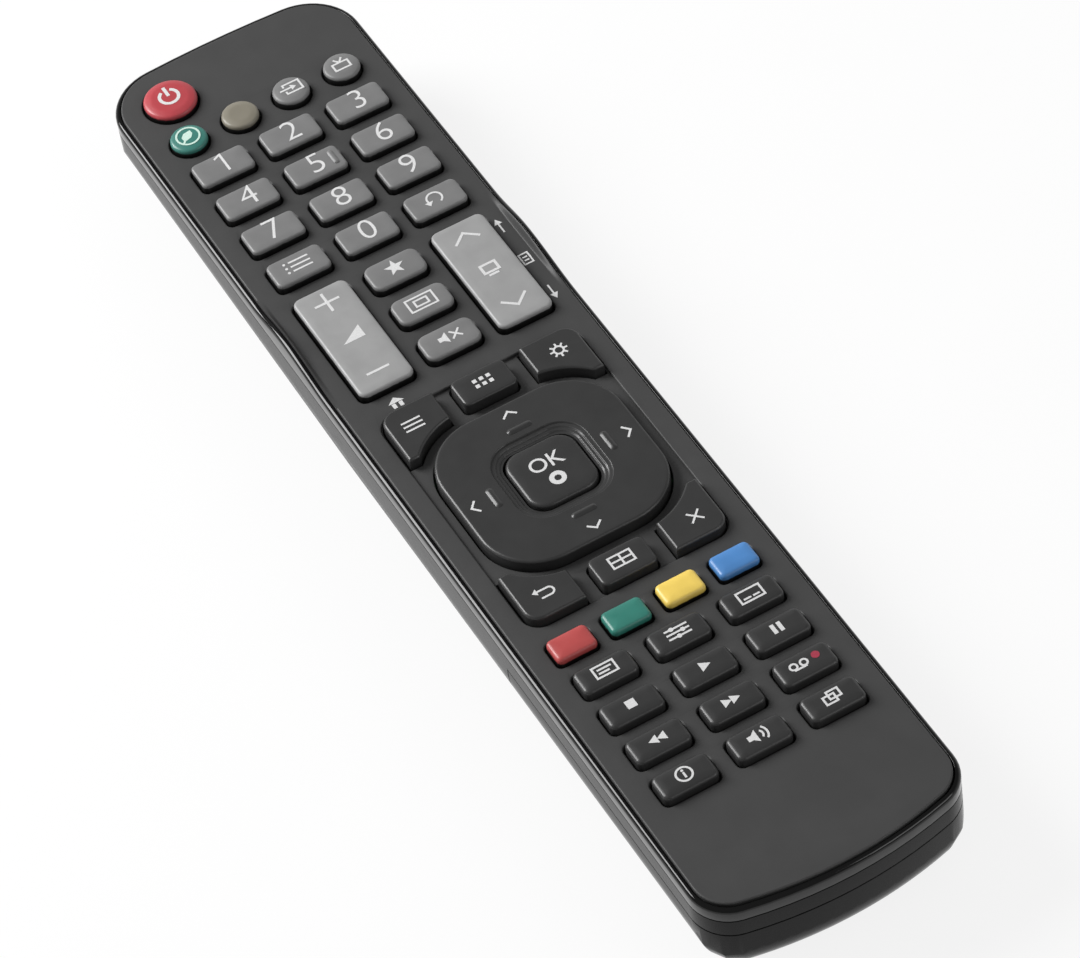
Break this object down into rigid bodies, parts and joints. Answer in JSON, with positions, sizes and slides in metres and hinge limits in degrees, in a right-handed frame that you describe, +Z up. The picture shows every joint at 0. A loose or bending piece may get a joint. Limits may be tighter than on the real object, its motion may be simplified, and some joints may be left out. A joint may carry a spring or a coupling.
{
  "type": "remote control",
  "caption": "Long handheld infrared remote control with a satin key plate, gloss rim, rocker keys, direction ring with centre key and a slide-off battery cover.",
  "frame": {"origin": "middle of the length and width, on the underside where the handset rests", "axes": "+X to the right of the keys, +Y towards the infrared head end, +Z up through the key tops"},
  "size_m": [0.0482, 0.22, 0.021],
  "materials": {
    "plate_satin": "satin dark grey moulding with a fine grain",
    "housing_gloss": "high-gloss black",
    "housing_lower": "semi-gloss black",
    "window_dark": "gloss dark red-black, clear to infrared",
    "board_green": "green solder resist",
    "mat_rubber": "dark silicone rubber",
    "chip_black": "moulded epoxy",
    "lamp_clear": "clear lamp resin",
    "cell_jacket": "plain printed jacket with bare steel ends",
    "contact_nickel": "nickel-plated spring sheet",
    "screw_steel": "zinc-plated steel",
    "key_grey": "satin mid-grey top on near-black sides",
    "key_light": "satin light-grey top on near-black sides",
    "key_dark": "satin charcoal",
    "key_power_red": "satin red",
    "key_teal": "satin teal green",
    "key_beige": "satin beige-grey",
    "key_red": "satin red",
    "key_green": "satin green",
    "key_yellow": "satin yellow",
    "key_blue": "satin blue"
  },
  "bodies": {
    "handset": {"face_plate": "plate_satin", "upper_housing": "housing_gloss", "lower_housing": "housing_lower", "ir_window": "window_dark", "circuit_board": "board_green", "keypad_mat": "mat_rubber", "control_chip": "chip_black", "ir_led": "lamp_clear", "batteries": "cell_jacket", "contact_springs": "contact_nickel", "contact_plates": "contact_nickel", "housing_screws": "screw_steel"},
    "cover": {"battery_cover": "housing_lower"},
    "ring_carrier": {"navigation_pad": "mat_rubber"},
    "ring": {"direction_ring": "key_dark"},
    "volume_rocker": {"volume_rocker": "key_light"},
    "programme_rocker": {"programme_rocker": "key_light"},
    "digit_0_key": {"digit_0_key": "key_grey"},
    "digit_1_key": {"digit_1_key": "key_grey"},
    "digit_2_key": {"digit_2_key": "key_grey"},
    "digit_3_key": {"digit_3_key": "key_grey"},
    "digit_4_key": {"digit_4_key": "key_grey"},
    "digit_5_key": {"digit_5_key": "key_grey"},
    "digit_6_key": {"digit_6_key": "key_grey"},
    "digit_7_key": {"digit_7_key": "key_grey"},
    "digit_8_key": {"digit_8_key": "key_grey"},
    "digit_9_key": {"digit_9_key": "key_grey"},
    "list_key": {"list_key": "key_grey"},
    "recall_key": {"recall_key": "key_grey"},
    "favourite_key": {"favourite_key": "key_grey"},
    "ratio_key": {"ratio_key": "key_grey"},
    "mute_key": {"mute_key": "key_grey"},
    "input_key": {"input_key": "key_grey"},
    "radio_key": {"radio_key": "key_grey"},
    "menu_key": {"menu_key": "key_dark"},
    "apps_key": {"apps_key": "key_dark"},
    "quick_menu_key": {"quick_menu_key": "key_dark"},
    "back_key": {"back_key": "key_dark"},
    "guide_key": {"guide_key": "key_dark"},
    "exit_key": {"exit_key": "key_dark"},
    "ok_key": {"ok_key": "key_dark"},
    "text_key": {"text_key": "key_dark"},
    "option_key": {"option_key": "key_dark"},
    "subtitle_key": {"subtitle_key": "key_dark"},
    "stop_key": {"stop_key": "key_dark"},
    "play_key": {"play_key": "key_dark"},
    "pause_key": {"pause_key": "key_dark"},
    "rewind_key": {"rewind_key": "key_dark"},
    "forward_key": {"forward_key": "key_dark"},
    "record_key": {"record_key": "key_dark"},
    "info_key": {"info_key": "key_dark"},
    "audio_key": {"audio_key": "key_dark"},
    "depth_key": {"depth_key": "key_dark"},
    "power_key": {"power_key": "key_power_red"},
    "eco_key": {"eco_key": "key_teal"},
    "blank_key": {"blank_key": "key_beige"},
    "red_key": {"red_key": "key_red"},
    "green_key": {"green_key": "key_green"},
    "yellow_key": {"yellow_key": "key_yellow"},
    "blue_key": {"blue_key": "key_blue"}
  },
  "joints": [
    {"name": "cover_slide", "type": "slide", "parent": "handset", "child": "cover", "axis": [0, -1, 0], "range_m": [0, 0.075]},
    {"name": "ring_tilt_up_down", "type": "hinge", "parent": "handset", "child": "ring_carrier", "pos_m": [0, -0.0161, 0.0171], "axis": [1, 0, 0], "range_deg": [-1.8, 1.8], "stiffness_Nm_per_rad": 0.25},
    {"name": "ring_tilt_left_right", "type": "hinge", "parent": "ring_carrier", "child": "ring", "pos_m": [0, -0.0161, 0.0171], "axis": [0, 1, 0], "range_deg": [-1.8, 1.8], "stiffness_Nm_per_rad": 0.25},
    {"name": "volume_rocker_tilt", "type": "hinge", "parent": "handset", "child": "volume_rocker", "pos_m": [-0.0135, 0.029, 0.01665], "axis": [1, 0, 0], "range_deg": [-2.5, 2.5], "stiffness_Nm_per_rad": 0.25},
    {"name": "programme_rocker_tilt", "type": "hinge", "parent": "handset", "child": "programme_rocker", "pos_m": [0.0135, 0.029, 0.01665], "axis": [1, 0, 0], "range_deg": [-2.5, 2.5], "stiffness_Nm_per_rad": 0.25},
    {"name": "digit_0_key_press", "type": "slide", "parent": "handset", "child": "digit_0_key", "axis": [0, 0, -1], "range_m": [0, 0.0008], "stiffness_N_per_m": 1500},
    {"name": "digit_1_key_press", "type": "slide", "parent": "handset", "child": "digit_1_key", "axis": [0, 0, -1], "range_m": [0, 0.0008], "stiffness_N_per_m": 1500},
    {"name": "digit_2_key_press", "type": "slide", "parent": "handset", "child": "digit_2_key", "axis": [0, 0, -1], "range_m": [0, 0.0008], "stiffness_N_per_m": 1500},
    {"name": "digit_3_key_press", "type": "slide", "parent": "handset", "child": "digit_3_key", "axis": [0, 0, -1], "range_m": [0, 0.0008], "stiffness_N_per_m": 1500},
    {"name": "digit_4_key_press", "type": "slide", "parent": "handset", "child": "digit_4_key", "axis": [0, 0, -1], "range_m": [0, 0.0008], "stiffness_N_per_m": 1500},
    {"name": "digit_5_key_press", "type": "slide", "parent": "handset", "child": "digit_5_key", "axis": [0, 0, -1], "range_m": [0, 0.0008], "stiffness_N_per_m": 1500},
    {"name": "digit_6_key_press", "type": "slide", "parent": "handset", "child": "digit_6_key", "axis": [0, 0, -1], "range_m": [0, 0.0008], "stiffness_N_per_m": 1500},
    {"name": "digit_7_key_press", "type": "slide", "parent": "handset", "child": "digit_7_key", "axis": [0, 0, -1], "range_m": [0, 0.0008], "stiffness_N_per_m": 1500},
    {"name": "digit_8_key_press", "type": "slide", "parent": "handset", "child": "digit_8_key", "axis": [0, 0, -1], "range_m": [0, 0.0008], "stiffness_N_per_m": 1500},
    {"name": "digit_9_key_press", "type": "slide", "parent": "handset", "child": "digit_9_key", "axis": [0, 0, -1], "range_m": [0, 0.0008], "stiffness_N_per_m": 1500},
    {"name": "list_key_press", "type": "slide", "parent": "handset", "child": "list_key", "axis": [0, 0, -1], "range_m": [0, 0.0008], "stiffness_N_per_m": 1500},
    {"name": "recall_key_press", "type": "slide", "parent": "handset", "child": "recall_key", "axis": [0, 0, -1], "range_m": [0, 0.0008], "stiffness_N_per_m": 1500},
    {"name": "favourite_key_press", "type": "slide", "parent": "handset", "child": "favourite_key", "axis": [0, 0, -1], "range_m": [0, 0.0008], "stiffness_N_per_m": 1500},
    {"name": "ratio_key_press", "type": "slide", "parent": "handset", "child": "ratio_key", "axis": [0, 0, -1], "range_m": [0, 0.0008], "stiffness_N_per_m": 1500},
    {"name": "mute_key_press", "type": "slide", "parent": "handset", "child": "mute_key", "axis": [0, 0, -1], "range_m": [0, 0.0008], "stiffness_N_per_m": 1500},
    {"name": "input_key_press", "type": "slide", "parent": "handset", "child": "input_key", "axis": [0, 0, -1], "range_m": [0, 0.0008], "stiffness_N_per_m": 1500},
    {"name": "radio_key_press", "type": "slide", "parent": "handset", "child": "radio_key", "axis": [0, 0, -1], "range_m": [0, 0.0008], "stiffness_N_per_m": 1500},
    {"name": "menu_key_press", "type": "slide", "parent": "handset", "child": "menu_key", "axis": [0, 0, -1], "range_m": [0, 0.0008], "stiffness_N_per_m": 1500},
    {"name": "apps_key_press", "type": "slide", "parent": "handset", "child": "apps_key", "axis": [0, 0, -1], "range_m": [0, 0.0008], "stiffness_N_per_m": 1500},
    {"name": "quick_menu_key_press", "type": "slide", "parent": "handset", "child": "quick_menu_key", "axis": [0, 0, -1], "range_m": [0, 0.0008], "stiffness_N_per_m": 1500},
    {"name": "back_key_press", "type": "slide", "parent": "handset", "child": "back_key", "axis": [0, 0, -1], "range_m": [0, 0.0008], "stiffness_N_per_m": 1500},
    {"name": "guide_key_press", "type": "slide", "parent": "handset", "child": "guide_key", "axis": [0, 0, -1], "range_m": [0, 0.0008], "stiffness_N_per_m": 1500},
    {"name": "exit_key_press", "type": "slide", "parent": "handset", "child": "exit_key", "axis": [0, 0, -1], "range_m": [0, 0.0008], "stiffness_N_per_m": 1500},
    {"name": "ok_key_press", "type": "slide", "parent": "handset", "child": "ok_key", "axis": [0, 0, -1], "range_m": [0, 0.0008], "stiffness_N_per_m": 1500},
    {"name": "text_key_press", "type": "slide", "parent": "handset", "child": "text_key", "axis": [0, 0, -1], "range_m": [0, 0.0008], "stiffness_N_per_m": 1500},
    {"name": "option_key_press", "type": "slide", "parent": "handset", "child": "option_key", "axis": [0, 0, -1], "range_m": [0, 0.0008], "stiffness_N_per_m": 1500},
    {"name": "subtitle_key_press", "type": "slide", "parent": "handset", "child": "subtitle_key", "axis": [0, 0, -1], "range_m": [0, 0.0008], "stiffness_N_per_m": 1500},
    {"name": "stop_key_press", "type": "slide", "parent": "handset", "child": "stop_key", "axis": [0, 0, -1], "range_m": [0, 0.0008], "stiffness_N_per_m": 1500},
    {"name": "play_key_press", "type": "slide", "parent": "handset", "child": "play_key", "axis": [0, 0, -1], "range_m": [0, 0.0008], "stiffness_N_per_m": 1500},
    {"name": "pause_key_press", "type": "slide", "parent": "handset", "child": "pause_key", "axis": [0, 0, -1], "range_m": [0, 0.0008], "stiffness_N_per_m": 1500},
    {"name": "rewind_key_press", "type": "slide", "parent": "handset", "child": "rewind_key", "axis": [0, 0, -1], "range_m": [0, 0.0008], "stiffness_N_per_m": 1500},
    {"name": "forward_key_press", "type": "slide", "parent": "handset", "child": "forward_key", "axis": [0, 0, -1], "range_m": [0, 0.0008], "stiffness_N_per_m": 1500},
    {"name": "record_key_press", "type": "slide", "parent": "handset", "child": "record_key", "axis": [0, 0, -1], "range_m": [0, 0.0008], "stiffness_N_per_m": 1500},
    {"name": "info_key_press", "type": "slide", "parent": "handset", "child": "info_key", "axis": [0, 0, -1], "range_m": [0, 0.0008], "stiffness_N_per_m": 1500},
    {"name": "audio_key_press", "type": "slide", "parent": "handset", "child": "audio_key", "axis": [0, 0, -1], "range_m": [0, 0.0008], "stiffness_N_per_m": 1500},
    {"name": "depth_key_press", "type": "slide", "parent": "handset", "child": "depth_key", "axis": [0, 0, -1], "range_m": [0, 0.0008], "stiffness_N_per_m": 1500},
    {"name": "power_key_press", "type": "slide", "parent": "handset", "child": "power_key", "axis": [0, 0, -1], "range_m": [0, 0.0008], "stiffness_N_per_m": 1500},
    {"name": "eco_key_press", "type": "slide", "parent": "handset", "child": "eco_key", "axis": [0, 0, -1], "range_m": [0, 0.0008], "stiffness_N_per_m": 1500},
    {"name": "blank_key_press", "type": "slide", "parent": "handset", "child": "blank_key", "axis": [0, 0, -1], "range_m": [0, 0.0008], "stiffness_N_per_m": 1500},
    {"name": "red_key_press", "type": "slide", "parent": "handset", "child": "red_key", "axis": [0, 0, -1], "range_m": [0, 0.0008], "stiffness_N_per_m": 1500},
    {"name": "green_key_press", "type": "slide", "parent": "handset", "child": "green_key", "axis": [0, 0, -1], "range_m": [0, 0.0008], "stiffness_N_per_m": 1500},
    {"name": "yellow_key_press", "type": "slide", "parent": "handset", "child": "yellow_key", "axis": [0, 0, -1], "range_m": [0, 0.0008], "stiffness_N_per_m": 1500},
    {"name": "blue_key_press", "type": "slide", "parent": "handset", "child": "blue_key", "axis": [0, 0, -1], "range_m": [0, 0.0008], "stiffness_N_per_m": 1500}
  ]
}
